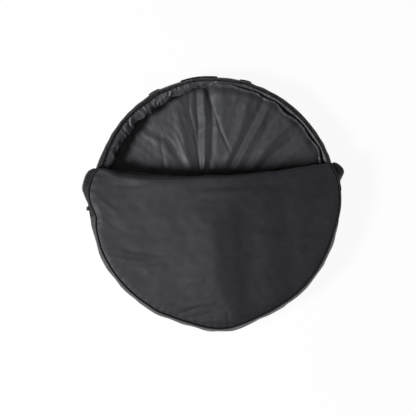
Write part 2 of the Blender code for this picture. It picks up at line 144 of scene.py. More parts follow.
# Wrinkles of the front: two ends in the picture, half width and height in millimetres
cover_wrinkles = [
    (112, 258, 150, 263, 7.0, 0.9),
    (118, 249, 166, 256, 9.0, -0.8),
    (126, 268, 170, 266, 6.0, 0.6),
    (120, 226, 150, 222, 11.0, -0.6),
    (165, 318, 204, 306, 4.0, -1.0),
    (170, 308, 214, 303, 6.0, 0.8),
    (178, 325, 226, 319, 4.0, 0.9),
    (172, 320, 216, 313, 3.5, -0.9),
    (188, 333, 238, 330, 3.5, -0.9),
    (245, 312, 268, 322, 6.0, 0.8),
    (252, 302, 290, 318, 9.0, -0.7),
    (199, 201, 225, 199, 5.0, -0.7),
    (196, 196, 232, 190, 9.0, 0.6),
    (150, 187, 198, 182, 12.0, 0.9),
    (112, 186, 150, 186, 10.0, -0.8),
    (96, 196, 118, 214, 7.0, 0.4),
    (98, 214, 130, 236, 8.0, -0.3),
    (262, 182, 330, 172, 12.0, 0.8),
    (300, 196, 356, 184, 12.0, -0.6),
    (276, 250, 340, 236, 16.0, 0.7),
    (262, 278, 330, 270, 14.0, -0.7),
    (322, 214, 352, 246, 9.0, 0.6),
    (240, 222, 300, 232, 14.0, -0.5),
]

# Folds of the floor lining under the front: degrees, half width in degrees, share of the height
hidden_folds = [
    (172.0, 5.0, 0.4), (200.0, 5.0, -0.6), (222.0, 7.0, 0.4), (246.0, 5.0, -0.6), (268.0, 7.0, 0.4),
    (294.0, 5.0, -0.6), (318.0, 7.0, 0.4), (342.0, 5.0, -0.6), (2.0, 5.0, 0.4),
]
# Folds where the lining is seen: three pixels along each, half width in pixels at both ends, height in mm
seen_folds = [
    (((150, 112), (158, 138), (166, 172)), 7.0, 5.0, 1.8),
    (((178, 112), (183, 138), (190, 170)), 6.5, 4.5, 4.0),
    (((189, 104), (191, 118), (195, 136)), 2.2, 1.6, -3.0),
    (((197, 104), (198, 138), (199, 172)), 3.4, 2.8, -4.5),
    (((204, 104), (205, 138), (203, 172)), 3.6, 2.6, 6.5),
    (((211, 104), (212, 138), (208, 172)), 3.6, 3.0, -6.0),
    (((213, 106), (219, 122), (229, 146)), 1.6, 1.2, -2.0),
    (((247, 108), (241, 128), (231, 152)), 5.0, 4.0, 4.0),
    (((256, 116), (244.5, 138), (231, 165)), 4.2, 3.6, -6.5),
    (((263, 118), (249, 144), (238, 165)), 3.4, 2.8, 4.0),
    (((270, 124), (257, 146), (246, 165)), 3.0, 2.6, -2.5),
    (((283, 131), (266, 149), (254, 167)), 5.0, 4.0, 6.0),
    (((292, 141), (275, 154), (260, 169)), 4.6, 3.6, -6.0),
    (((304, 144), (288, 158), (274, 169)), 4.0, 3.0, 3.0),
    (((161, 154), (162, 162), (164, 170)), 1.8, 1.6, -1.8),
]

# Each ear: where it starts and ends, its corner's start in degrees, its fullness, and how level it lies
# at the places, which are shares of its length
ear_places = [0.0, 0.42, 0.48, 0.56, 0.64, 0.72, 0.80, 0.90, 1.0]
ear_shapes = {
    "left": (left_corner, left_zip_end, 0.25, 0.0, [1.0, 1.0, 0.99, 0.86, 0.66, 0.50, 0.40, 0.40, 0.45]),
    "right": (right_corner, right_zip_end, 0.02, 0.24, [1.0, 0.99, 0.96, 0.86, 0.70, 0.50, 0.33, 0.22, 0.25]),
}


def smooth(t):
    """Rise from 0 to 1 with level ends."""
    t = np.clip(t, 0.0, 1.0)
    return t * t * (3 - 2 * t)


def window(x, start, rise, end, fall):
    """From 0 up to 1 over the rise after the start, and back to 0 over the fall before the end."""
    return smooth((x - start) / rise) * smooth((end - x) / fall)


def hump(x, place, spread):
    """A bell that is 1 at its place and falls off over its spread."""
    return np.exp(-(((x - place) / spread) ** 2))


def rounded(share):
    """A quarter circle's rise from 0 to 1."""
    return np.sqrt(1 - (1 - np.clip(share, 0, 1)) ** 2)


def bells(angle, table):
    """The sum of a table's bells on the circle: each has its degrees, height and spread in degrees."""
    total = 0.0
    for degrees, tall, spread in table:
        away = (angle - math.radians(degrees) + pi) % full_turn - pi
        total = total + tall * hump(away, 0.0, math.radians(spread))
    return total


def ripple(u, v, seed):
    """Soft unevenness from -1 to 1: a sum of cosine waves that run in random directions."""
    waves = 7
    draw = np.random.default_rng(seed)
    total = np.zeros(np.broadcast(u, v).shape)
    for _ in range(waves):
        heading, length, phase = draw.uniform(0, pi), draw.uniform(0.6, 1.7), draw.uniform(0, full_turn)
        total = total + np.cos((u * math.cos(heading) + v * math.sin(heading)) * full_turn / length + phase)
    return total / math.sqrt(waves * 2)


def creased(x):
    """Turn a wave into a crease: round on its hills and sharp in its valleys."""
    return 1 - 2 * np.abs(np.sin(x / 2)) ** 0.8


def crumpled(wave, sharpness=0.85):
    """Turn unevenness from -1 to 1 into hills with sharp tops."""
    return 1 - 2 * np.abs(wave) ** sharpness


def border_angles(start, end, count, places):
    """Angles from start to end, closer together beside the named places."""
    fine = np.linspace(start, end, 4000)
    weight = 1 + bells(fine, [(place, 3.0, spread) for place, spread in places])
    total = np.concatenate([[0.0], np.cumsum((weight[1:] + weight[:-1]) / 2)])
    return np.interp(np.linspace(0, total[-1], count), total, fine)


def stack(*parts):
    """Points, or places on the cloth, from their coordinate arrays."""
    return np.stack(np.broadcast_arrays(*parts), axis=-1).astype(float)


def polar(radius, angle, height):
    """Points from radius, angle and height arrays."""
    return stack(radius * np.cos(angle), radius * np.sin(angle), height)


def turned(x, y, angle):
    """A place seen from axes that are turned by this angle."""
    c, s = math.cos(angle), math.sin(angle)
    return x * c + y * s, -x * s + y * c


def fold_xy(along, out):
    """The place this far along the fold from its middle and this far out from the bag's centre."""
    return turned(along, out, -fold_turn)


def fold_place(x, y):
    """The reverse: how far along the fold and how far out a place lies."""
    return turned(x, y, fold_turn)


def from_picture(px, py):
    """The place on the bag that is seen at this pixel."""
    x, y = (px - picture_centre[0]) * picture_scale, (picture_centre[1] - py) * picture_scale
    return turned(x, y, picture_turn)


def picture_of(x, y):
    """The pixel at which a place on the bag is seen."""
    right, up = turned(x, y, -picture_turn)
    return picture_centre[0] + right / picture_scale, picture_centre[1] - up / picture_scale


def rim(angle):
    """The radius of the side wall at its fullest: a circle with a soft point at the bottom."""
    return bag_radius + bells(angle, rim_humps)


def bulging(angle):
    """From 0 to 1: where the lower wall bulges out beyond its seam, which shows it from above."""
    return window(np.degrees(angle) % 360, 192, 14, 352, 16)


def front_seam(angle):
    """The radius of the front's seam: the rim, drawn in beside the left zip end and by the bulge."""
    return rim(angle) - bells(angle, seam_draws) - seam_draw * bulging(angle)


def piping_edge(angle):
    """The radius of the inner side of the front's piping."""
    return front_seam(angle) - 2 * piping_radius


def drawn_wall(angle, height):
    """The lower wall's radius at a height: the rim, drawn in to the seam towards its top."""
    share = (height - wall_foot) / (bag_depth - wall_foot)
    return rim(angle) + (front_seam(angle) - rim(angle)) * smooth((share - 0.70) / 0.30)


def sag(along):
    """How far the lip hangs below the straight line between its ends."""
    t = np.clip((along - lip_middle) / lip_half, -1, 1)
    return lip_sag * np.cos(pi / 2 * t) ** 1.4 + 0.0038 * window(along, -0.345, 0.050, -0.010, 0.070)


def lip_breadth(along):
    """From 0 to 1: where the lip hangs down broadly, on its left half, and not elsewhere."""
    return window(along, -0.335, 0.06, -0.045, 0.165)


def lip_reach(along):
    """How far the lip slopes down, seen from above, before it turns under."""
    ends = smooth((0.345 - np.abs(along - lip_centre)) / 0.05)
    return 0.0050 + (0.0050 + 0.0145 * lip_breadth(along)) * ends


def lip_line(along, way=-1):
    """Where the flat of the front ends and the lip begins; way 1 mirrors it, for the closed flap."""
    return fold_offset + way * (sag(along) + lip_reach(along))


def lip_top(along):
    """Height of the line where the lip begins: the front's own height there."""
    return cover_height(*fold_xy(along, lip_line(along)))


def tuck(points):
    """Turn points of the closed flap about the fold, down under the front, where the flap lies."""
    fold = next(joint for joint in frame["record"]["behaviour"]["joints"] if joint["name"] == "flap_fold")
    pivot = np.array(fold["pos_m"])
    turn = np.array(Matrix.Rotation(-math.radians(fold["range_deg"][1]), 3, Vector(fold["axis"])))
    return (points - pivot) @ turn.T + pivot


def linear(red, green, blue):
    """Turn a screen colour, given in 0 to 255 steps, into the shader's linear colour."""
    shares = [channel / 255 for channel in (red, green, blue)]
    return [s / 12.92 if s <= 0.04045 else ((s + 0.055) / 1.055) ** 2.4 for s in shares] + [1.0]


def shade(colour, times, more=0.0):
    """A darker or paler colour of the same hue."""
    return [channel * times + more for channel in colour[:3]] + [1.0]


class Nodes:
    """A material's nodes, added one by one."""

    def __init__(self, name, roughness, specular=0.5, metallic=0.0, sheen=0.0, coat=0.0):
        """A plain material with these values on its shader."""
        self.material = bpy.data.materials.new(name)
        self.material.use_nodes = True
        self.tree = self.material.node_tree
        self.shader = self.tree.nodes["Principled BSDF"]
        self.set("Roughness", roughness)
        self.set("Specular IOR Level", specular)
        self.set("Metallic", metallic)
        self.set("Sheen Weight", sheen)
        self.set("Sheen Roughness", 0.45)
        self.set("Coat Weight", coat)

    def set(self, socket, source):
        """Give one of the shader's own sockets a value or an output."""
        self.link(source, self.shader.inputs[socket])

    def add(self, kind):
        """A new node of this kind."""
        return self.tree.nodes.new(f"ShaderNode{kind}")

    def link(self, source, target):
        """Link an output to an input, or set the input where the source is a plain value."""
        if isinstance(source, bpy.types.NodeSocket):
            self.tree.links.new(source, target)
        else:
            target.default_value = source

    def feed(self, node, *sources):
        """The node, with these sources on its first inputs."""
        for socket, source in zip(node.inputs, sources):
            self.link(source, socket)
        return node

    def math(self, operation, first, second=0.0, third=0.0):
        """One Math node's result."""
        node = self.add("Math")
        node.operation = operation
        return self.feed(node, first, second, third).outputs[0]

    def noise(self, scale, detail=2.0, distortion=0.0):
        """A noise's value, from about 0.3 to 0.7, on the piece's own Object coordinates."""
        node = self.add("TexNoise")
        self.link(self.add("TexCoord").outputs["Object"], node.inputs["Vector"])
        for socket, value in (("Scale", scale), ("Detail", detail), ("Distortion", distortion)):
            node.inputs[socket].default_value = value
        return node.outputs["Fac"]

    def cloth_map(self):
        """The two coordinates of the piece's own cloth map, in metres."""
        source = self.add("UVMap")
        source.uv_map = "cloth"
        return self.feed(self.add("SeparateXYZ"), source.outputs[0]).outputs

    def wave(self, place, pitch):
        """A sine wave along a coordinate: one hill for each pitch, up and down in turn."""
        return self.math("SINE", self.math("MULTIPLY", place, pi / pitch))

    def between(self, value, low, high, low_to=0.0, high_to=1.0):
        """Carry a value from one range to another."""
        return self.feed(self.add("MapRange"), value, low, high, low_to, high_to).outputs[0]

    def mix(self, share, first, second):
        """A colour between two."""
        node = self.add("Mix")
        node.data_type = "RGBA"
        for place, source in ((0, share), (6, first), (7, second)):
            self.link(source, node.inputs[place])
        return node.outputs[2]

    def bump(self, height, distance, before=None):
        """A bump from a height from 0 to 1, on top of another."""
        node = self.add("Bump")
        self.link(height, node.inputs["Height"])
        node.inputs["Distance"].default_value = distance
        if before is not None:
            self.link(before, node.inputs["Normal"])
        return node.outputs[0]


def cloth(name, colour, thread, sheen, depth, crinkle, patches, specular):
    """Woven cloth: crossing threads, painted shade between them, uneven dye, fine crinkles, a soft sheen."""
    nodes = Nodes(name, 0.50, specular, sheen=sheen)
    first, second = (nodes.wave(place, thread) for place in nodes.cloth_map()[:2])
    crossing = nodes.math("MULTIPLY", first, second)
    height = nodes.math("ABSOLUTE", crossing)
    base = linear(*colour)
    light = shade(base, 1 + patches)
    dye = nodes.mix(nodes.between(nodes.noise(9.0, 4.0), 0.35, 0.65), shade(base, 1 - patches), light)
    # Painted shade: the colour darkens to 0.62 of itself in the gaps between the threads
    weave_gap_shade = nodes.mix(nodes.between(height, 0.0, 0.55), shade(base, 0.62), dye)
    tint = nodes.mix(nodes.between(crossing, -0.4, 0.4, 0.0, 0.35), weave_gap_shade, light)
    lint = nodes.between(nodes.noise(900.0, 1.0), 0.70, 0.76, 0.0, 0.5)
    nodes.set("Base Color", nodes.mix(lint, tint, shade(base, 2.2)))
    nodes.set("Roughness", nodes.between(nodes.noise(40.0, 3.0), 0.3, 0.7, 0.44, 0.58))
    weave = nodes.bump(height, thread * depth)
    nodes.set("Normal", nodes.bump(nodes.noise(55.0, 5.0, 0.6), crinkle, weave))
    return nodes.material


def ribbed(name, colour, pitch_u, pitch_v, roughness, depth, slant=0.0, sheen=0.1, specular=0.3):
    """Tape, webbing or wrapped cord: ribs across or along its length, slanting where it is wound."""
    nodes = Nodes(name, roughness, specular, sheen=sheen)
    u, v = nodes.cloth_map()[:2]
    along = nodes.math("ABSOLUTE", nodes.wave(nodes.math("MULTIPLY_ADD", v, slant, u), pitch_u))
    across = nodes.math("ABSOLUTE", nodes.wave(v, pitch_v))
    height = nodes.math("MULTIPLY", along, nodes.math("MULTIPLY_ADD", across, 0.5, 0.5))
    base = linear(*colour)
    dye = nodes.mix(nodes.between(nodes.noise(25.0, 3.0), 0.35, 0.65), base, shade(base, 1.25))
    # Painted shade: the colour falls to half of itself in the grooves between the ribs
    nodes.set("Base Color", nodes.mix(nodes.between(height, 0.1, 0.6), shade(base, 0.5), dye))
    nodes.set("Normal", nodes.bump(height, depth))
    return nodes.material


def moulded(name, colour, roughness, grain, grain_depth, metallic=0.0, edge_wear=0.0, coat=0.0):
    """Moulded plastic, rubber or lacquered metal: fine grain, rubbed patches and scratches."""
    nodes = Nodes(name, roughness, metallic=metallic, coat=coat)
    base = linear(*colour)
    rubbed = nodes.between(nodes.noise(180.0, 4.0), 0.5, 0.68, 0.0, 0.6)
    body = nodes.mix(rubbed, base, shade(base, 1.5, 0.004))
    if edge_wear:
        scratch = nodes.between(nodes.noise(700.0, 2.0, 2.0), 0.66, 0.72, 0.0, edge_wear)
        body = nodes.mix(scratch, body, linear(120, 118, 114))
    nodes.set("Base Color", body)
    rough = nodes.between(nodes.noise(300.0, 2.0), 0.3, 0.7, roughness - 0.08, roughness + 0.1)
    nodes.set("Roughness", rough)
    nodes.set("Normal", nodes.bump(nodes.noise(grain, 3.0), grain_depth))
    return nodes.material


binding_tape = ribbed("binding_tape", (40, 40, 43), 0.0014, 0.0010, 0.75, 0.0002)
sewing_thread = ribbed("sewing_thread", (58, 58, 62), 0.0004, 0.0004, 0.5, 0.0001, slant=1.5)
finishes = {
    "outer_cloth": cloth("outer_cloth", (57, 54, 62), 0.0006, 0.10, 0.10, 0.0002, 0.12, 0.6),
    "lining_cloth": cloth("lining_cloth", (92, 93, 98), 0.0004, 0.15, 0.12, 0.0003, 0.06, 0.7),
    "piping": ribbed("piping_cloth", (50, 50, 54), 0.0012, 0.0009, 0.6, 0.0002, slant=0.8),
    "zip_tape": ribbed("zip_tape", (44, 43, 48), 0.0012, 0.0008, 0.60, 0.0002, slant=0.6, specular=0.35),
    "zip_teeth": moulded("zip_nylon", (24, 24, 27), 0.38, 900.0, 0.00002),
    "slider_metal": moulded("slider_lacquer", (56, 56, 59), 0.38, 1200.0, 0.00002, 0.25, 0.6, 0.2),
    "guard_plastic": moulded("guard_sheet", (34, 34, 36), 0.5, 600.0, 0.0002),
    "webbing": ribbed("webbing", (42, 42, 45), 0.0016, 0.0011, 0.75, 0.0004, sheen=0.2),
    "grip_rubber": moulded("grip_rubber", (32, 32, 34), 0.62, 450.0, 0.0002),
}
finishes["foam"] = finishes["outer_cloth"]


def linked(name, data):
    """A new object in the scene."""
    thing = bpy.data.objects.new(name, data)
    bpy.context.collection.objects.link(thing)
    return thing


def grid_faces(rows, columns, round_columns=False):
    """Four-cornered faces of a grid whose corners are counted row by row."""
    across = columns if round_columns else columns - 1
    i, j = np.meshgrid(np.arange(rows - 1), np.arange(across), indexing="ij")
    k = (j + 1) % columns
    corners = [i * columns + j, i * columns + k, (i + 1) * columns + k, (i + 1) * columns + j]
    return np.stack(corners, axis=-1).reshape(-1, 4)


def make_piece(name, points, faces, uv, slot, nodes=(), body="bag", material=None):
    """Put corners, faces and each corner's place on the cloth, in metres, into a mesh on a body."""
    mesh = bpy.data.meshes.new(name)
    mesh.from_pydata(points.reshape(-1, 3).tolist(), [], faces.tolist())
    layer = mesh.uv_layers.new(name="cloth")
    corners = np.zeros(len(mesh.loops), dtype=np.int32)
    mesh.loops.foreach_get("vertex_index", corners)
    layer.data.foreach_set("uv", uv.reshape(-1, 2)[corners].astype(np.float32).ravel())
    mesh.materials.append(material or finishes[slot])
    mesh.shade_smooth()
    mesh.set_sharp_from_angle(angle=math.radians(55))
    piece = linked(name, mesh)
    if body:
        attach(piece, body)
    if nodes:
        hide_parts(*nodes)
    return piece


def close_seams(piece, cap=False):
    """Merge the doubled corners where a surface meets itself, and close its open ends."""
    shape = bmesh.new()
    shape.from_mesh(piece.data)
    bmesh.ops.remove_doubles(shape, verts=shape.verts, dist=1e-6)
    if cap:
        bmesh.ops.holes_fill(shape, edges=[edge for edge in shape.edges if edge.is_boundary], sides=0)
    bmesh.ops.recalc_face_normals(shape, faces=shape.faces)
    shape.to_mesh(piece.data)
    shape.free()


def two_sided(name, outer, inner, uv, slot, nodes=(), body="bag", flip=False):
    """Close two grids of the same corners, one above the other, into one thin body."""
    rows, columns = outer.shape[:2]
    count = rows * columns
    top = grid_faces(rows, columns)
    index = np.arange(count).reshape(rows, columns)
    edge = np.concatenate([index[0, :-1], index[:-1, -1], index[-1, :0:-1], index[:0:-1, 0]])
    following = np.roll(edge, -1)
    side = np.stack([edge, edge + count, following + count, following], axis=-1)
    faces = np.concatenate([top, top[:, ::-1] + count, side])
    if flip:
        faces = faces[:, ::-1]
    points = np.concatenate([outer.reshape(-1, 3), inner.reshape(-1, 3)])
    return make_piece(name, points, faces, np.concatenate([uv.reshape(-1, 2)] * 2), slot, nodes, body)


def unit(vectors, least=0.0):
    """The same headings at length 1."""
    return vectors / (np.linalg.norm(vectors, axis=-1, keepdims=True) + least)


def lengths_along(points):
    """How far each point of a row lies from the row's start."""
    return np.concatenate([[0.0], np.cumsum(np.linalg.norm(np.diff(points, axis=0), axis=-1))])


def sample(place, along, path):
    """Points of a path at these distances from its start."""
    return np.stack([np.interp(place, along, path[:, k]) for k in range(3)], axis=-1)


def path_frames(path, ring):
    """The two directions across a path at each of its points: one level and outward, one up."""
    ahead = np.roll(path, -1, axis=0) - np.roll(path, 1, axis=0) if ring else np.gradient(path, axis=0)
    ahead = unit(ahead)
    side = unit(np.cross(ahead, [0.0, 0.0, 1.0]))
    return side, np.cross(side, ahead)


def wrapped(name, rings, along, around, slot, nodes=(), body="bag", material=None, cap=True):
    """A skin over a row of closed rings of corners."""
    rings = np.concatenate([rings, rings[:, :1]], axis=1)
    uv = stack(along[:, None], around[None])
    piece = make_piece(name, rings, grid_faces(*rings.shape[:2]), uv, slot, nodes, body, material)
    close_seams(piece, cap)
    return piece


def tube(name, path, radius, nodes, body="bag", sides=12, ring=False, material=None):
    """A round cord along a path: at each point a ring of corners across the path's heading."""
    side, up = path_frames(path, ring)
    turn = np.arange(sides) * full_turn / sides
    circle = side[:, None] * np.cos(turn)[None, :, None] + up[:, None] * np.sin(turn)[None, :, None]
    radii = np.broadcast_to(radius, len(path))
    rings = path[:, None] + circle * radii[:, None, None]
    if ring:
        rings = np.concatenate([rings, rings[:1]])
        path = np.concatenate([path, path[:1]])
    around = np.linspace(0, full_turn * float(np.mean(radii)), sides + 1)
    wrapped(name, rings, lengths_along(path), around, "piping", nodes, body, material, not ring)


def coil(name, path, nodes, body="bag"):
    """A zip's coil: a thin wire wound round the path, one turn for each pitch."""
    along = lengths_along(path)
    place = np.linspace(0, along[-1], int(along[-1] / coil_pitch) * 8 + 1)
    centre = sample(place, along, path)
    side, up = path_frames(centre, False)
    angle = (place / coil_pitch * full_turn)[:, None]
    out = side * np.cos(angle) + up * np.sin(angle)
    wound = centre + out * (coil_radius - coil_wire)
    across = np.cross(unit(np.gradient(wound, axis=0)), out)
    rings = wound[:, None] + coil_wire * np.stack([out, across, -out, -across], axis=1)
    wrapped(name, rings, place, np.linspace(0, 4 * coil_wire, 5), "zip_teeth", nodes, body)


def stitches(name, path, above, slot="outer_cloth", body="bag", size=seam_stitch):
    """A row of stitches: each is a short thread that dips into the cloth at its two ends."""
    pitch, length, radius = size
    along = lengths_along(path)
    count = int(along[-1] / pitch)
    middle = (np.arange(count) + 0.5) * along[-1] / count
    place = middle[:, None] + np.array([-1.0, -0.55, 0.0, 0.55, 1.0]) * length / 2
    centre = sample(place, along, path)
    lift = unit(sample(place, along, above))
    side = np.cross(unit(np.gradient(centre, axis=1)), lift)
    dip = np.array([-0.9, 0.25, 0.55, 0.25, -0.9]) * radius
    thick = np.array([0.35, 0.95, 1.0, 0.95, 0.35]) * radius
    turn = np.arange(5) * full_turn / 5
    ring = side[:, :, None] * np.cos(turn)[:, None] + lift[:, :, None] * np.sin(turn)[:, None]
    points = (centre + lift * dip[:, None])[:, :, None] + ring * thick[:, None, None]
    one = grid_faces(5, 5, round_columns=True)[:, ::-1]
    faces = (one[None] + (np.arange(count) * 25)[:, None, None]).reshape(-1, 4)
    uv = np.broadcast_to(stack(np.linspace(0, length, 5)[:, None], turn * radius), (count, 5, 5, 2))
    close_seams(make_piece(name, points, faces, uv, slot, (), body, sewing_thread), True)


def sewn_round(name, radius, angles, height, slot="outer_cloth", body="bag", facing=1, lift=0.0, move=None):
    """A row of stitches at a radius, lifted off the cloth whose height at (x, y) is given."""
    line = polar(radius, angles, 0.0)
    line[:, 2] = height(line[:, 0], line[:, 1]) + facing * lift
    above = line + [0.0, 0.0, float(facing)]
    if move:
        line, above = move(line), move(above)
    stitches(name, line, above - line, slot, body)


def sewn_line(name, corners, radius_at):
    """A row of stitches on the side wall along straight runs between corners of (angle, height)."""
    steps = np.linspace(0, 1, 14)[:-1, None]
    corners = np.array(corners)
    runs = [first + (second - first) * steps for first, second in zip(corners, corners[1:])]
    angles, heights = np.concatenate(runs + [corners[-1:]]).T
    line = polar(radius_at(angles, heights), angles, heights)
    stitches(name, line, polar(np.ones(len(angles)), angles, 0.0), "webbing", size=box_stitch)


def belt(name, angles, radius, half_thick, half_high, nodes, slot="webbing", body="bag", power=8.0):
    """A band bent round the wall: at each angle a rounded rectangle stands across the path."""
    turn = np.arange(32) * full_turn / 32
    across, upward = (np.sign(part) * np.abs(part) ** (2 / power) for part in (np.cos(turn), np.sin(turn)))
    thick, high = (np.broadcast_to(half, angles.shape)[:, None] for half in (half_thick, half_high))
    rings = polar(radius[:, None] + thick * across, angles[:, None], handle_height + high * upward)
    around = np.concatenate([[0.0], np.cumsum(np.hypot(np.diff(across) * 0.002, np.diff(upward) * 0.014))])
    around = np.append(around, around[-1] + 0.001)
    return wrapped(name, rings, angles * bag_radius, around, slot, nodes, body)


def hub_guard(name, node, height, facing):
    """A stiff round patch with a bevelled rim, sewn round its edge; it follows the lining it is sewn to."""
    groove = 0.0462
    angles = np.linspace(0, full_turn, 97)[:, None]
    radii = np.array([0.0, 0.012, 0.024, 0.034, 0.042, 0.0455, groove, 0.0470, 0.0490, 0.0500])[None]
    thick = np.array([1.0, 1.0, 1.0, 1.0, 1.0, 1.0, 0.6, 1.0, 1.0, 0.35])[None] * 0.0014
    x, y = radii * np.cos(angles), radii * np.sin(angles)
    base = height(x, y)
    sides = [stack(x, y, base + facing * thick), stack(x, y, base)]
    close_seams(two_sided(name, *sides[::facing], stack(x, y), "guard_plastic", (node,), flip=True))
    around = np.linspace(0, full_turn, 200)
    sewn_round(f"{name}_stitches", groove, around, height, "guard_plastic", facing=facing, lift=0.0011)


def panel_net(along, way, seam_radius, far_side, rows):
    """A panel's net in plan: the blend of lip and seam, and of both sides, less the blend of the corners."""
    def seam(angle):
        """Places in plan on the panel's outer border: its radius at each angle."""
        return stack(seam_radius(angle) * np.cos(angle), seam_radius(angle) * np.sin(angle))

    lip, far = stack(*fold_xy(along, lip_line(along, way))), seam(far_side)
    steps = (1 - np.cos(np.linspace(0, pi, rows))) / 4 + np.linspace(0, 0.5, rows)
    left = seam(left_corner - way * corner_run * steps)
    right = seam(right_corner + way * corner_run * steps)
    left += (lip[0] - left[0]) * (1 - steps)[:, None] ** 3
    right += (lip[-1] - right[0]) * (1 - steps)[:, None] ** 3
    t = np.linspace(0, 1, rows)[:, None, None]
    s = np.linspace(0, 1, len(along))[None, :, None]
    ruled = lip[None] * (1 - t) + far[None] * t + left[:, None] * (1 - s) + right[:, None] * s
    net = ruled - (lip[0] * (1 - s) + lip[-1] * s) * (1 - t) - (far[0] * (1 - s) + far[-1] * s) * t
    return net[..., 0], net[..., 1]


def pad_bottom(top, from_edge):
    """The underside of a padded panel, which is thin at its edge and swells behind it."""
    thick = 0.0016 + 0.0030 * rounded(from_edge / 0.006)
    return np.minimum(np.maximum(top - thick, panel_low), top - 0.0012)


def roof(x, y):
    """The tent that the front makes: two sagging slopes from a soft ridge down to the side seam."""
    half_width = np.sqrt(np.clip(panel_radius**2 - y**2, 1e-6, None))
    upper = smooth((y + 0.075) / 0.095)
    ridge = -0.0065 - 0.007 * hump(y, -0.215, 0.070) + 0.023 * smooth((-0.262 - y) / 0.060) + 0.056 * upper
    round_off = 0.014 + 0.080 * upper
    away = np.sqrt((x - ridge) ** 2 + round_off**2) - round_off
    side_width = half_width + np.where(x < ridge, ridge, -ridge)
    sagging = np.where(x < ridge, 1.75, 1.25)
    wave = 0.0017 * (1 - 0.85 * upper) * np.cos((x - 0.003) * full_turn / 0.150)
    tent = roof_slope * half_width * np.clip(1 - away / np.maximum(side_width, 0.02), 0, 1) ** sagging
    return tent + wave * window(x, 0.02, 0.05, 0.25, 0.06)


def cover_height(x, y):
    """Height of the lower front: its roof, eased down to the seam and the lip, with its wrinkles."""
    angle = np.arctan2(y, x)
    share = np.clip(np.hypot(x, y) / piping_edge(angle), 0, 1)
    along, out = fold_place(x, y)
    from_lip = lip_line(along) - out
    ends = smooth((0.342 - np.abs(along - lip_centre)) / 0.06)
    keep = lip_share * ends + (1 - lip_share * ends) * smooth(from_lip / 0.130)
    inside = smooth((0.997 - share) / 0.05)
    groove = 0.0016 * hump(from_lip, 0.026, 0.010) * ends * window(along, -0.10, 0.12, 0.22, 0.1)
    rise = 0.0040 * hump(from_lip, 0.004, 0.045) * ends * window(along, -0.30, 0.12, 0.20, 0.16)
    wrinkles = 0.0004 * ripple(x / 0.11, y / 0.08, 3) + 0.00018 * ripple(x / 0.035, y / 0.022, 4)
    for x0, y0, x1, y1, wide, tall in cover_wrinkles:
        (ax, ay), (bx, by) = from_picture(x0, y0), from_picture(x1, y1)
        long = math.hypot(bx - ax, by - ay)
        ux, uy = (bx - ax) / long, (by - ay) / long
        s = ((x - ax) * ux + (y - ay) * uy) / long - 0.5
        across = (x - ax) * -uy + (y - ay) * ux - 0.12 * long * s**2
        wrinkles = wrinkles + 1.4e-3 * tall * hump(across, 0.0, wide * 1e-3) * np.exp(-((s / 0.42) ** 4))
    from_seam = (1 - share) * bag_radius
    pucker = 0.0005 * np.cos(angle * 95 + 2.5 * ripple(angle / 0.3, 0 * angle, 5))
    pucker = pucker * np.exp(-from_seam / 0.012) * smooth(from_seam / 0.004)
    dart = 0.0006 * hump(x, 0.0060, 0.0065) * smooth((-0.318 - y) / 0.030) * smooth((0.999 - share) / 0.01)
    edge = 0.0018 * np.exp(-np.clip(from_seam - 0.0016, 0, None) / 0.0035)
    return panel_top + (roof(x, y) * keep + rise + wrinkles) * inside - groove + pucker - dart - edge


def front_cover():
    """The padded lower front: its outer face, the lining below it, and the guard inside."""
    lip = np.linspace(-lip_end, 0.3465, 300)
    bottom = border_angles(left_corner + corner_run, right_corner - corner_run + full_turn, 300, [(268, 4)])
    x, y = panel_net(lip, -1, lambda angle: piping_edge(angle) - 0.0016, bottom, 110)
    top = cover_height(x, y)
    along, out = fold_place(x, y)
    from_seam = piping_edge(np.arctan2(y, x)) - np.hypot(x, y)
    low = pad_bottom(top, np.minimum(from_seam, lip_line(along) - out))
    outer, inner, uv = stack(x, y, top), stack(x, y, low), stack(x, y)
    piece = two_sided("front_pad", outer, inner, uv, "outer_cloth", ("front_shell", "front_foam"), flip=True)
    outer, inner = stack(x, y, low - lining_thickness), stack(x, y, low - 2 * lining_thickness)
    piece = two_sided("front_inner_lining", outer, inner, uv, "lining_cloth", ("front_lining",), flip=True)
    hub_guard("front_guard_patch", "front_hub_guard", lambda x, y: cover_height(x, y) - 0.0058, -1)


def front_edging():
    """Piping round the lower front, and the row of stitches inside it."""
    angles = border_angles(left_corner, right_corner + full_turn, 330, [(268, 4), (182, 8)])
    height = seam_height + 0.0003 * ripple(angles / 0.2, angles, 8)
    radius = piping_radius * (1 + 0.05 * ripple(angles / 0.05, angles, 9))
    path = polar(front_seam(angles) - piping_radius, angles, height)
    tube("front_piping_cord", path, radius, ("front_piping",))
    angles = np.linspace(left_corner + 0.02, right_corner + full_turn - 0.02, 900)
    sewn_round("front_seam_stitches", piping_edge(angles) - stitch_inset, angles, cover_height)


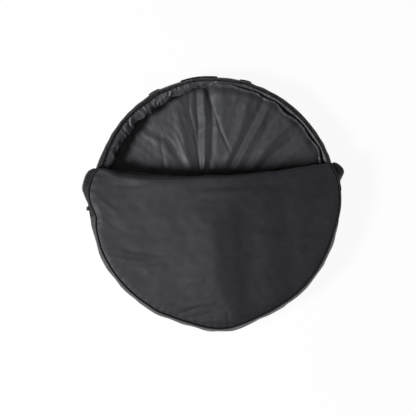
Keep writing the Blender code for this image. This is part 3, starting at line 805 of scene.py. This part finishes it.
def roll_of_lip():
    """The rolled lip: it slopes down from the front, turns under at its tip and runs back to the flap."""
    along = np.linspace(-0.3465, 0.3475, 260)[:, None]
    broad = lip_breadth(along)
    top = lip_top(along)
    low = 2 * bag_depth - top
    tip = bag_depth - 0.0280 * broad * smooth((top - panel_top) / 0.006)
    turn = np.linspace(0, pi, 37)[None]
    share = np.sin(turn)
    round_part = np.sqrt(np.clip(1 - share**2, 0, 1))
    upper = np.clip(1 - share ** (2 + 1.0 * broad), 0, 1) ** (1 / (2 - broad))
    rolled = tip - (tip - low) * round_part
    hung = tip + (low - tip) * (1 - share) - 0.004 * share * round_part
    height = np.where(turn < pi / 2, tip + (top - tip) * upper, rolled + (hung - rolled) * broad)
    fold = 0.0008 * ripple(along / 0.05, along / 0.09, 12) + 0.0012 * ripple(along / 0.13, along / 0.2, 13)
    out = share * lip_reach(along) + fold * share**2
    line = lip_line(along)
    face = stack(line + out, height)
    back = face + unit(stack(line + 0 * out, tip) - face, 1e-9) * 0.0010
    outer, inner = (stack(*fold_xy(along, side[..., 0]), side[..., 1]) for side in (face, back))
    uv = stack(along, np.cumsum(np.abs(np.gradient(out, axis=1)), axis=1))
    two_sided("rolled_lip", outer, inner, uv, "outer_cloth", ("lip_roll",))


def bridge_of_lip():
    """The cloth inside the roll, from front to flap, folded up as it lies while the flap is tucked."""
    along = np.linspace(-lip_end, lip_end, 240)[:, None]
    top = lip_top(along)
    inset = np.array([-0.0040, 0.0006, 0.0006, -0.0040])[None]
    lift = np.array([-0.0009, -0.0007, 0.0007, 0.0009])[None]
    upper = np.array([True, True, False, False])[None]
    height = np.where(upper, top, 2 * bag_depth - top) + lift
    out = lip_line(along) + inset
    back = out - np.array([0.0, 0.0004, 0.0004, 0.0])[None]
    outer = stack(*fold_xy(along, out), height)
    inner = stack(*fold_xy(along, back), height + np.where(upper, -0.0004, 0.0004))
    uv = stack(along, np.cumsum(np.abs(inset), axis=1))
    piece = two_sided("lip_bridge_cloth", outer, inner, uv, "outer_cloth", body=None)
    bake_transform(piece)


def flap_height(x, y):
    """Height of the closed flap: its lip is as high as the front's, and it falls to its seam."""
    share = np.clip(np.hypot(x, y) / panel_radius, 0, 1)
    along, out = fold_place(x, y)
    from_lip = out - lip_line(along, 1)
    lip = (lip_top(along) - panel_top) * (1 - 0.75 * smooth(from_lip / 0.18))
    crown = 0.004 * (1 - share**2.6) * smooth(from_lip / 0.1)
    uneven = 0.0006 * ripple(x / 0.12, y / 0.07, 23) + 0.00025 * ripple(x / 0.035, y / 0.03, 24)
    return panel_top + (lip + crown + uneven) * smooth((0.997 - share) / 0.06)


def flap():
    """The padded flap with its lining, piping, zip tape and coil, tucked under the front."""
    far_side = np.linspace(left_corner - corner_run, right_corner + corner_run, 240)
    lip = np.linspace(-lip_end, lip_end, 240)
    x, y = panel_net(lip, 1, lambda angle: panel_radius - 0.0006, far_side, 90)
    top = flap_height(x, y)
    along, out = fold_place(x, y)
    low = pad_bottom(top, np.minimum(panel_radius - np.hypot(x, y), out - lip_line(along, 1)))
    faces = [tuck(stack(x, y, height)) for height in (top, low, low - 0.0005, low - 0.0009)]
    piece = two_sided("flap_pad", *faces[:2], stack(x, y), "outer_cloth", ("flap_shell", "flap_foam"), "flap")
    piece = two_sided("flap_inner_lining", *faces[2:], stack(x, y), "lining_cloth", ("flap_lining",), "flap")
    angles = np.linspace(right_corner, left_corner, 200)
    path = polar(bag_radius - piping_radius, angles, seam_height)
    tube("flap_piping_cord", tuck(path), piping_radius, ("flap_piping",), "flap")
    seam = np.linspace(right_corner + 0.02, left_corner - 0.02, 500)
    sewn_round("flap_seam_stitches", panel_radius - stitch_inset, seam, flap_height, body="flap", move=tuck)
    from_fold = panel_radius * np.cos(angles - pi / 2 - fold_turn) - fold_offset
    tilt = math.radians(58) * smooth(from_fold / 0.220)
    under = tape_under + 0.0085 * smooth((0.040 - from_fold) / 0.040)
    zip_strip("flap_zip", angles, tilt, bag_radius - under, tape_width + under, "flap", tuck)


def zip_strip(name, angles, tilt, start, breadth, body, move=None, meet=None, coil_rows=None):
    """A zip tape that starts under the seam and slopes outward and down by its tilt, with its coil.

    Where the strip meets a slider, meet gives that place's radius and height, and a share of how much
    the coil is drawn to it.
    """
    base = seam_height - 0.0030
    share = np.linspace(0, 1, 9)[None]
    wave = 0.0010 * ripple(angles / 0.10, angles / 0.07, 31)
    bend = tilt[:, None] * (0.7 + 0.6 * share)
    r = start[:, None] + share * breadth[:, None] * np.cos(bend)
    z = base - share * breadth[:, None] * np.sin(bend) + wave[:, None] * share
    coil_r = start + (breadth + coil_radius) * np.cos(bend[:, -1])
    coil_z = base - (breadth + coil_radius) * np.sin(bend[:, -1]) + wave
    if meet:
        place_r, place_z, pull = meet
        r = r + (place_r - coil_r)[:, None] * (pull[:, None] * share**0.8)
        z = z + (place_z - coil_z)[:, None] * (pull[:, None] * share**1.5)
        coil_r = coil_r + (place_r - coil_r) * pull
        coil_z = coil_z + (place_z - coil_z) * pull
    outer = polar(r, angles[:, None], z + 0.0004)
    inner = polar(r, angles[:, None], z - 0.0004)
    path = polar(coil_r, angles, coil_z)[:coil_rows]
    if move:
        outer, inner, path = move(outer), move(inner), move(path)
    uv = stack((angles * bag_radius)[:, None], share * tape_width)
    two_sided(f"{name}_band", outer, inner, uv, "zip_tape", (f"{name}_tape",), body)
    coil(f"{name}_helix", path, (f"{name}_coil",), body)


def ears():
    """The front's zip tape beyond the lip: each end lies flat like an ear and turns down to its slider."""
    for side, (fold_angle, zip_end, corner, fuller, level) in ear_shapes.items():
        angles = np.linspace(fold_angle, zip_end, 120)
        coil_rows = int(np.sum(np.abs(angles - zip_end) > math.radians(1.6)))
        share = (angles - fold_angle) / (zip_end - fold_angle)
        nearby = (-0.05, -0.025, 0.0, 0.025, 0.05)
        reach = np.mean([np.interp(share + step, ear_places, level) for step in nearby], axis=0)
        tilt = np.arccos(np.clip((reach * 0.020 + 0.0065) / 0.0265, 0.1, 1.0)) / 1.3
        opened = (np.abs(angles - fold_angle) + math.radians(corner)) / math.radians(ear_rounding)
        width = ear_width * np.sin(pi / 2 * np.sqrt(np.clip(opened, 0, 1)))
        breadth = tape_under + width * (1 + fuller * hump(share, 0.40, 0.35))
        meet = (rim(angles) + 0.0010, slider_middle + 0.0030, smooth((share - 0.72) / 0.28))
        start = front_seam(angles) - tape_under
        zip_strip(f"{side}_ear", angles, tilt, start, breadth, "bag", None, meet, coil_rows)


def from_zip_end(angle):
    """How far round an angle lies from the zip's nearer end, inside the opening."""
    return np.minimum(left_zip_end - angle, angle - right_zip_end)


def curl_point(angle, s):
    """Radius, height and inward normal at the distance s along the curl: an arc that turns evenly.

    It doesn't turn at the zip's ends, and most beside the lip's left end.
    """
    ends = smooth(from_zip_end(angle) / math.radians(14))
    bend = np.maximum(ends * np.radians(52 + bells(angle, curl_turns)), 0.02)
    swing = curl_length / bend
    turn = bend * s / curl_length
    start = curl_start + 0.0020 * ripple(angle / 0.25, angle / 0.4, 41)
    return rim(angle) - swing * (1 - np.cos(turn)), start + swing * np.sin(turn), -np.cos(turn), -np.sin(turn)


def upper_wall():
    """The free part of the side wall: outer cloth up to the curl, zip tape on it, and the coil."""
    angles = np.linspace(right_zip_end, left_zip_end, 420)[:, None]
    heights = np.linspace(wall_foot, curl_start, 22)[None, :-1]
    share = (heights - wall_foot) / (curl_start - wall_foot)
    crease = 0.0010 * creased(angles * 26 + 6 * share + 2 * ripple(angles / 0.4, share, 43))
    crease = crease + 0.0015 * ripple(angles / 0.16, share * 1.3, 44)
    at_handle = 1 - 0.7 * hump(angles, handle_middle, math.radians(30))
    r_wall = rim(angles) + np.sin(pi * share) ** 0.7 * (crease * at_handle - 0.0014)
    s = np.linspace(0, curl_cloth, 9)[None]
    r_curl, z_curl, nr, nz = curl_point(angles, s)
    wobble = 0.0009 * ripple(angles / 0.07, s / 0.02, 45) * smooth(s / 0.004)
    lifted = (curl_point(angles, np.array([[0.0]]))[1] - curl_start) * smooth(share)
    r = np.concatenate([r_wall, r_curl - wobble * nr], axis=1)
    z = np.concatenate([np.broadcast_to(heights, r_wall.shape) + lifted, z_curl - wobble * nz], axis=1)
    normal_r = np.concatenate([np.full(r_wall.shape, -1.0), np.broadcast_to(nr, r_curl.shape)], axis=1)
    normal_z = np.concatenate([np.zeros(r_wall.shape), np.broadcast_to(nz, r_curl.shape)], axis=1)
    outer = polar(r, angles, z)
    inner = polar(r + normal_r * cloth_thickness, angles, z + normal_z * cloth_thickness)
    uv = stack(angles * bag_radius, z - 0.2 * (r - bag_radius))
    piece = two_sided("upper_wall_cloth", outer, inner, uv, "outer_cloth", ("upper_gusset",))
    s = np.linspace(curl_cloth - 0.001, curl_length, 8)[None]
    r, z, nr, nz = curl_point(angles, s)
    out_shift = 0.0004 - 0.0012 * ripple(angles / 0.06, s / 0.02, 46) * smooth((s - curl_cloth) / 0.004)
    lowest = zip_end_height - curl_start - curl_length
    drop = lowest * smooth((math.radians(2.2) - from_zip_end(angles)) / math.radians(2.0))
    outer, inner = (
        polar(r - nr * shift, angles, z - nz * shift + drop * smooth(s / curl_length))
        for shift in (out_shift, out_shift - 0.0008)
    )
    uv = stack(angles * bag_radius, s)
    two_sided("upper_wall_zip_band", outer, inner, uv, "zip_tape", ("gusset_zip_tape",))
    r, z, _, _ = curl_point(angles[:, 0], curl_length + coil_radius)
    coil("upper_wall_zip_helix", polar(r, angles[:, 0], z + drop[:, 0])[8:-8], ("gusset_zip_coil",))


def wall_lining():
    """The upper wall's loose lining: from the curl it lies inward in crumples and falls to the floor."""
    angles = np.linspace(right_zip_end, left_zip_end, 720)[:, None]
    s = np.linspace(0, 1, 44)[None]
    r_top, z_top, _, _ = curl_point(angles, np.array([[curl_length * 0.86]]))
    z_top = z_top - 0.0050
    ends = smooth(from_zip_end(angles) / math.radians(12))
    right = window(np.degrees(angles), 4, 10, 88, 22)
    shelf = (0.0080 + bells(angles, [(132, 0.0200, 32), (98, 0.0075, 13)])) * (0.3 + 0.7 * ends)
    shelf = (shelf + 0.0110 * right) * (1 + 0.25 * ripple(angles / 0.22, angles / 0.4, 51))
    weights = [(1 - s) ** 3, 3 * s * (1 - s) ** 2, 3 * s**2 * (1 - s), s**3]
    foot = rim(angles) - 0.0050
    radii = [foot, foot - 1.1 * shelf, r_top - 2.0 * shelf, r_top + 0.0004]
    heights = [0.0112, 0.020 + 0.025 * right, z_top + 0.0015 + 0.020 * right, z_top]
    r = sum(weight * place for weight, place in zip(weights, radii))
    z = sum(weight * place for weight, place in zip(weights, heights))
    along_r, along_z = np.gradient(r, axis=1), np.gradient(z, axis=1)
    length = np.hypot(along_r, along_z)
    normal_r, normal_z = -along_z / length, along_r / length
    u, v = angles * bag_radius + 0.25 * s * 0.09, s * 0.090
    big = crumpled(ripple(u / 0.048 + 0.3 * ripple(u / 0.1, v / 0.05, 54), v / 0.075, 52))
    small = crumpled(ripple(u / 0.021, v / 0.030, 53))
    tall = (0.0022 + bells(angles, [(132, 0.0022, 34)])) * np.sin(pi * s) ** 0.5
    lift = tall * (big + 0.35 * small) - 0.0210 * right * hump(s, 0.86, 0.075)
    r = np.minimum(r + normal_r * lift, rim(angles) - 0.0030)
    z = z + normal_z * lift
    outer = polar(r, angles, z)
    inner = polar(r - normal_r * 0.0005, angles, z - normal_z * 0.0005)
    uv, nodes = stack(angles * bag_radius, v), ("upper_gusset_lining",)
    piece = two_sided("upper_wall_loose_lining", outer, inner, uv, "lining_cloth", nodes, flip=True)


def lower_wall():
    """The part of the side wall that the front is sewn to, and its lining."""
    angles = border_angles(left_zip_end, right_zip_end + full_turn, 460, [(268, 5), (184, 8)])[:, None]
    z = np.linspace(wall_foot, bag_depth, 34)[None]
    share = (z - wall_foot) / (bag_depth - wall_foot)
    give = np.sin(pi * share) ** 0.7
    crease = 0.0012 * creased(angles * 24 + 5 * share + 2 * ripple(angles / 0.4, share, 61))
    crease = crease + 0.0016 * ripple(angles / 0.15, share * 1.5, 62)
    pucker = 0.0005 * np.cos(angles * 110 + 2 * ripple(angles / 0.2, angles, 63))
    pucker = pucker * np.exp(-(1 - share) / 0.12)
    bulge = wall_bulge * bulging(angles) * np.sin(pi * share**0.85) ** 0.8
    r = drawn_wall(angles, z) + give * (crease + 0.0005) + pucker + bulge
    loose = 0.004 * give * (0.5 + 0.5 * creased(angles * 30 + 3 * share))
    backing = cloth_thickness + lining_thickness + loose
    insets = (0.0, cloth_thickness, backing, backing + lining_thickness)
    faces = [polar(r - inset, angles, z) for inset in insets]
    uv = stack(angles * bag_radius, z)
    piece = two_sided("lower_wall_cloth", *faces[:2], uv, "outer_cloth", ("lower_gusset",))
    piece = two_sided("lower_wall_lining", *faces[2:], uv, "lining_cloth", ("lower_gusset_lining",))


def back_panel():
    """The padded back with its dented underside, its piping, its guard, and the inside seam's binding."""
    angles = np.linspace(0, full_turn, 361)[:, None]
    shares = np.concatenate([np.linspace(0.0, 0.985, 60), [0.992, 0.997, 1.0]])[None]
    radius = shares * (rim(angles) - 2 * piping_radius - 0.0006)
    x, y = radius * np.cos(angles), radius * np.sin(angles)
    lift = 0.0018 * (1 - rounded((1 - shares) * bag_radius / 0.004))
    dent = 0.0010 * np.clip(ripple(x / 0.12, y / 0.09, 71), 0, 2) * smooth((1 - shares) / 0.05)
    top, bottom = stack(x, y, 0.0054 - lift), stack(x, y, lift + dent)
    nodes = ("back_shell", "back_foam")
    piece = two_sided("back_pad", top, bottom, stack(x, y), "outer_cloth", nodes, flip=True)
    close_seams(piece)
    around = angles[:-1, 0]
    path = polar(rim(around) - piping_radius, around, piping_radius + 0.0003)
    tube("back_piping_cord", path, piping_radius, ("back_piping",), ring=True)
    path = polar(rim(around) - 0.0062, around, 0.0084 + 0.0003 * ripple(around / 0.1, around, 72))
    nodes = ("inner_seam_binding",)
    tube("inner_binding", path, 0.0023, nodes, sides=10, ring=True, material=binding_tape)
    hub_guard("back_guard_patch", "back_hub_guard", lambda x, y: 0.0068 + 0 * x, 1)


def picture_fold(px, py, points, wide_top, wide_low, tall):
    """A fold along a curve through three pixels and straight on: a bell across it, fading past its ends."""
    (x0, y0), (x1, y1), (x2, y2) = points
    t, middle = (py - y0) / (y2 - y0), (y1 - y0) / (y2 - y0)
    curve = ((x1 - x0) - (x2 - x0) * middle) / (middle**2 - middle)
    slope = (x2 - x0) - curve
    inside = np.clip(t, 0, 1)
    line = x0 + slope * inside + curve * inside**2
    line = line + slope * np.minimum(t, 0) + (slope + 2 * curve) * np.maximum(t - 1, 0)
    lean = (slope + 2 * curve * inside) / (y2 - y0)
    across = (px - line) / np.sqrt(1 + lean**2)
    wide = wide_top + (wide_low - wide_top) * np.clip(t, -0.3, 1)
    return tall * 1e-3 * np.exp(-np.abs(across / wide) ** 1.7) * window(t, -1.6, 0.5, 1.35, 0.40)


def floor_height(radius, angle):
    """Height of the floor lining: the main folds from the middle to the wall, and finer ones on them."""
    start = 0.056
    share = np.clip((radius - start) / (rim(angle) - 0.0053 - start), 0, 1)
    height = np.full(np.broadcast(radius, angle).shape, 0.0085)
    for degrees, wide, tall in hidden_folds:
        swing = math.radians(1.3) * ripple(share * 1.6 + degrees, 0 * share, int(degrees))
        height = height + bells(angle + swing, [(degrees, tall * 0.0065, wide)])
    px, py = picture_of(radius * np.cos(angle), radius * np.sin(angle))
    px = px + 0.8 * ripple(py / 34, px / 30, 85)
    for fold in seen_folds:
        height = height + picture_fold(px, py, *fold)
    loose = ripple(angle * 4.2 + 0.4 * ripple(share * 3, angle, 81), share * 0.9, 82)
    fine = ripple(angle * 13 + 0.8 * ripple(share * 2.4, angle * 1.2, 83), share * 1.6, 84)
    pinch = crumpled(ripple(px / 15, py / 24, 86), 0.8)
    height = height + 0.0011 * loose + (0.0004 * fine + 0.0005 * pinch) * smooth((share - 0.2) / 0.4)
    return 0.0066 + np.maximum(height, 0.0002) * smooth(share / 0.30) * smooth((1 - share) / 0.12)


def floor_lining():
    """The lining on the back panel, gathered into folds."""
    angles = border_angles(0, full_turn, 541, [(92, 60)])[:, None]
    shares = np.concatenate([[0.0], np.linspace(0.02 / (bag_radius - 0.0072), 1, 88)])[None]
    radii = shares * (rim(angles) - 0.0092)
    z = floor_height(radii, angles)
    x, y = radii * np.cos(angles), radii * np.sin(angles)
    faces = (stack(x, y, z), stack(x, y, z - lining_thickness))
    piece = two_sided("floor_loose_lining", *faces, stack(x, y), "lining_cloth", ("back_lining",), flip=True)
    close_seams(piece)


def zip_stops():
    """The cloth tab over each zip's end: it hangs from the piping over the wall, its edges folded in."""
    high, tall, wide, inset = 0.0995, 0.0195, 0.0180, 0.0026
    for side, zip_end, way in (("left", left_zip_end, 1), ("right", right_zip_end, -1)):
        start = zip_end + way * 0.0010
        run = np.linspace(start, start + way * wide / bag_radius, 22)[:, None]
        drop = np.linspace(0, 1, 20)[None]
        z = high - drop * tall
        r = drawn_wall(run, z) + 0.0006
        from_start = np.abs(run - start) * bag_radius
        edge = np.minimum(np.minimum(drop, 1 - drop) * tall, np.minimum(from_start, wide - from_start))
        hem = 0.0004 * smooth(edge / 0.0006) + 0.0006 * hump(edge, 0.0016, 0.0012)
        faces = (polar(r + 0.0006 + hem, run, z), polar(r, run, z))
        uv = stack(run * bag_radius, z)
        two_sided(f"{side}_zip_tab", *faces, uv, "webbing", (f"{side}_zip_stop",), flip=way < 0)
        a0, a1 = start + way * inset / bag_radius, start + way * (wide - inset) / bag_radius
        z0, z1 = high - inset, high - tall + inset
        corners = [(a0, z0), (a1, z0), (a1, z1), (a0, z1), (a0, z0)]
        sewn_line(f"{side}_zip_tab_stitches", corners, lambda a, z: drawn_wall(a, z) + 0.0018)


def softened(node, name, width):
    """A copy of one of the frame's stiff parts with its edges rounded off."""
    mesh = node.data.copy()
    mesh.name = name
    shape = bmesh.new()
    shape.from_mesh(mesh)
    shape.transform(node.matrix_world)
    bmesh.ops.remove_doubles(shape, verts=shape.verts, dist=1e-6)
    bmesh.ops.dissolve_limit(shape, angle_limit=math.radians(4), verts=shape.verts, edges=shape.edges)
    between = [edge for edge in shape.edges if len(edge.link_faces) == 2]
    sharp = [edge for edge in between if edge.calc_face_angle(0.0) > math.radians(35)]
    rounding = {"segments": 3, "profile": 0.6, "affect": "EDGES", "clamp_overlap": True}
    bmesh.ops.bevel(shape, geom=sharp, offset=width, **rounding)
    bmesh.ops.recalc_face_normals(shape, faces=shape.faces)
    shape.to_mesh(mesh)
    shape.free()
    mesh.materials.clear()
    mesh.materials.append(finishes["slider_metal"])
    mesh.shade_smooth()
    return linked(name, mesh)


def sliders():
    """Each zip's slider with rounded edges, a raised bridge over its puller's pin, and its puller."""
    for part in ("left_slider", "left_puller", "right_slider", "right_puller"):
        width = 0.0006 if part.endswith("slider") else 0.00035
        piece = softened(frame["nodes"][part], f"{part}_cast", width)
        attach(piece, part)
        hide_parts(part)


def grip_and_straps():
    """The handle: two flat straps sewn to the wall, and a ribbed sleeve round them in the middle."""
    middle, grip_half, anchor_half = handle_middle, math.radians(8.63), math.radians(2.77)
    angles = np.linspace(middle - grip_half, middle + grip_half, 150)
    ends = smooth((grip_half - np.abs(angles - middle)) / math.radians(0.7))
    rib = 1 + 0.09 * np.abs(np.sin((angles - middle) * bag_radius * pi / 0.0042)) * smooth((ends - 0.9) / 0.1)
    thick, high = 0.0029 * (0.72 + 0.28 * ends) * rib, 0.0138 * (0.96 + 0.04 * ends)
    radius = rim(angles) + 0.0033
    belt("grip_sleeve", angles, radius, thick, high, ("handle_grip",), "grip_rubber", "handle", 3.2)
    anchors = (("left", 1, math.radians(112.7)), ("right", -1, math.radians(69.3)))
    for side, way, centre in anchors:
        start, end = middle + way * (grip_half - 0.004), centre - way * (anchor_half - 0.002)
        angles = np.linspace(start, end, 60)
        radius = rim(angles) + 0.0009 + 0.0008 * np.sin(pi * np.linspace(0, 1, 60))
        nodes = (f"{side}_handle_strap",)
        piece = belt(f"{side}_handle_web", angles, radius, 0.00115, 0.0124, nodes, body=None)
        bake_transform(piece)
    for side, _, centre in anchors:
        angles = np.linspace(centre - anchor_half, centre + anchor_half, 60)
        from_end = (anchor_half - np.abs(angles - centre)) * bag_radius
        thick = 0.0014 + 0.0004 * smooth(from_end / 0.0008) + 0.0003 * hump(from_end, 0.0020, 0.0015)
        radius = rim(angles) + 0.0004 + thick
        belt(f"{side}_anchor_patch", angles, radius, thick, 0.0148, (f"{side}_handle_anchor",))
        a, h = anchor_half - 0.0026 / bag_radius, 0.0148 - 0.0028
        signs = [(-1, -1), (1, -1), (1, 1), (-1, 1), (-1, -1), (1, 1), (-1, 1), (1, -1)]
        route = [(centre + x * a, handle_height + y * h) for x, y in signs]
        sewn_line(f"{side}_anchor_stitches", route, lambda a, z: rim(a) + 0.0043)


def carried_parts():
    """Give the frame's own stiff parts their finishes, on them and under the pieces that replace them."""
    for node in frame["nodes"].values():
        for place in node.material_slots:
            if place.material and place.material.name in finishes:
                place.material = finishes[place.material.name]


def stage_and_light():
    """White floor, a broad soft light from the left and a weak one from the right."""
    floor_nodes = Nodes("floor", 0.9, 0.1)
    floor_nodes.set("Base Color", (0.9, 0.9, 0.9, 1.0))
    path = floor_nodes.add("LightPath").outputs
    mirrored = floor_nodes.math("MAXIMUM", path["Is Glossy Ray"], path["Is Transmission Ray"])
    seen = floor_nodes.math("MAXIMUM", path["Is Camera Ray"], mirrored)
    white = floor_nodes.add("Emission")
    white.inputs["Strength"].default_value = 1.08
    share = floor_nodes.math("MULTIPLY", seen, 0.86)
    sources = (share, floor_nodes.shader.outputs[0], white.outputs[0])
    blend = floor_nodes.feed(floor_nodes.add("MixShader"), *sources)
    floor_nodes.link(blend.outputs[0], floor_nodes.tree.nodes["Material Output"].inputs[0])
    mesh = bpy.data.meshes.new("studio_floor")
    half = 6.0
    corners = [(-half, -half, 0), (half, -half, 0), (half, half, 0), (-half, half, 0)]
    mesh.from_pydata(corners, [], [(0, 1, 2, 3)])
    mesh.materials.append(floor_nodes.material)
    floor = linked("studio_floor", mesh)
    floor.location.z = min(0.0, cad_box[0][2]) - 0.0004
    world = bpy.data.worlds.new("studio")
    bpy.context.scene.world = world
    world.use_nodes = True
    background = world.node_tree.nodes["Background"]
    background.inputs["Color"].default_value = (1.0, 1.0, 1.0, 1.0)
    background.inputs["Strength"].default_value = 0.035
    for name, place, size, power in (
        ("left_softbox", (-3.20, -0.80, 3.00), 1.1, 130.0),
        ("right_softbox", (3.2, -0.4, 1.1), 1.2, 14.0),
    ):
        light = bpy.data.lights.new(name, "AREA")
        light.size = size
        light.energy = power
        lamp = linked(name, light)
        lamp.location = place
        lamp.rotation_euler = (Vector((0, 0, 0.05)) - Vector(place)).to_track_quat("-Z", "Y").to_euler()


def camera():
    """Straight above the bag, turned with it."""
    data = bpy.data.cameras.new("camera")
    data.lens = camera_lens
    data.sensor_width = 36.0
    view = linked("camera", data)
    view.location = camera_place
    view.rotation_euler = Euler((0.0, 0.0, -picture_turn))
    bpy.context.scene.camera = view
    bpy.context.scene.view_settings.view_transform = "Standard"


camera()
stage_and_light()
back_panel()
floor_lining()
lower_wall()
upper_wall()
wall_lining()
front_cover()
front_edging()
roll_of_lip()
bridge_of_lip()
flap()
ears()
zip_stops()
sliders()
grip_and_straps()
carried_parts()
